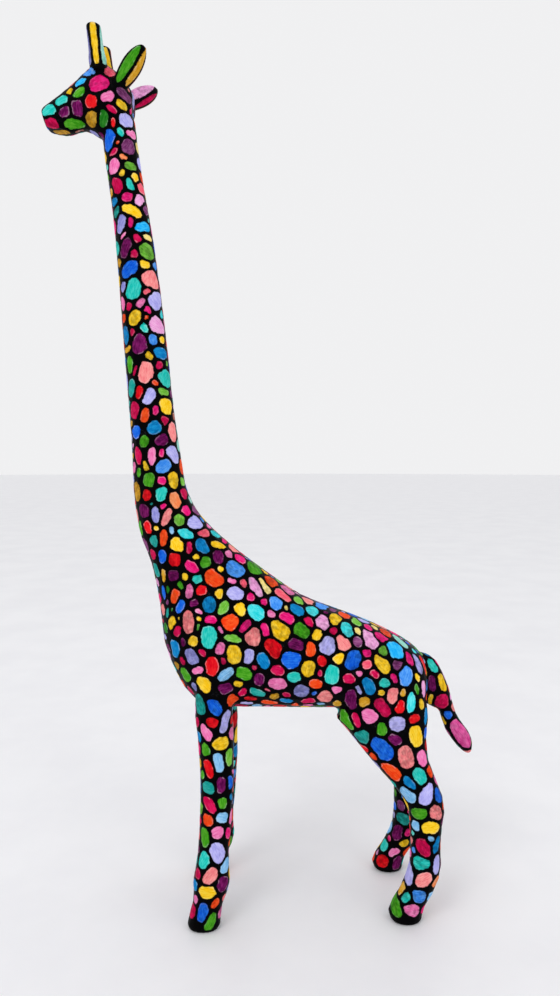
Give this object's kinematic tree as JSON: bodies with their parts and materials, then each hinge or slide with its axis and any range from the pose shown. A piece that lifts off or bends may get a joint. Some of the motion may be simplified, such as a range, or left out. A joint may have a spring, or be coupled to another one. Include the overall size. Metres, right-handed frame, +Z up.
{
  "type": "carved giraffe statue",
  "caption": "Standing carved wooden giraffe on four slender legs, with long neck, ears, horns and tail, painted black with bright pebble dots; decorative shelf or table ornament.",
  "frame": {"origin": "centre of the bounding box on the plane the hooves stand on", "axes": "+Z up, the giraffe faces -X, its left flank faces -Y"},
  "size_m": [0.2986, 0.087, 0.6],
  "materials": {
    "painted_wood": "carved wood under satin black paint with hand-painted pebble dots in bright colours and a gloss varnish",
    "bare_wood": "plain turned hardwood dowel, glued in and hidden in the joint"
  },
  "bodies": {
    "root": {"torso": "painted_wood", "neck": "painted_wood", "head": "painted_wood", "front_leg_left": "painted_wood", "hind_leg_left": "painted_wood", "front_leg_right": "painted_wood", "hind_leg_right": "painted_wood", "ear_left": "painted_wood", "ear_right": "painted_wood", "ossicone_left": "painted_wood", "ossicone_right": "painted_wood", "tail": "painted_wood", "dowel_neck_front": "bare_wood", "dowel_neck_rear": "bare_wood", "dowel_head": "bare_wood", "dowel_front_left_fore": "bare_wood", "dowel_front_left_aft": "bare_wood", "dowel_hind_left_fore": "bare_wood", "dowel_hind_left_aft": "bare_wood", "dowel_front_right_fore": "bare_wood", "dowel_front_right_aft": "bare_wood", "dowel_hind_right_fore": "bare_wood", "dowel_hind_right_aft": "bare_wood", "dowel_tail_upper": "bare_wood", "dowel_tail_lower": "bare_wood"}
  },
  "joints": []
}
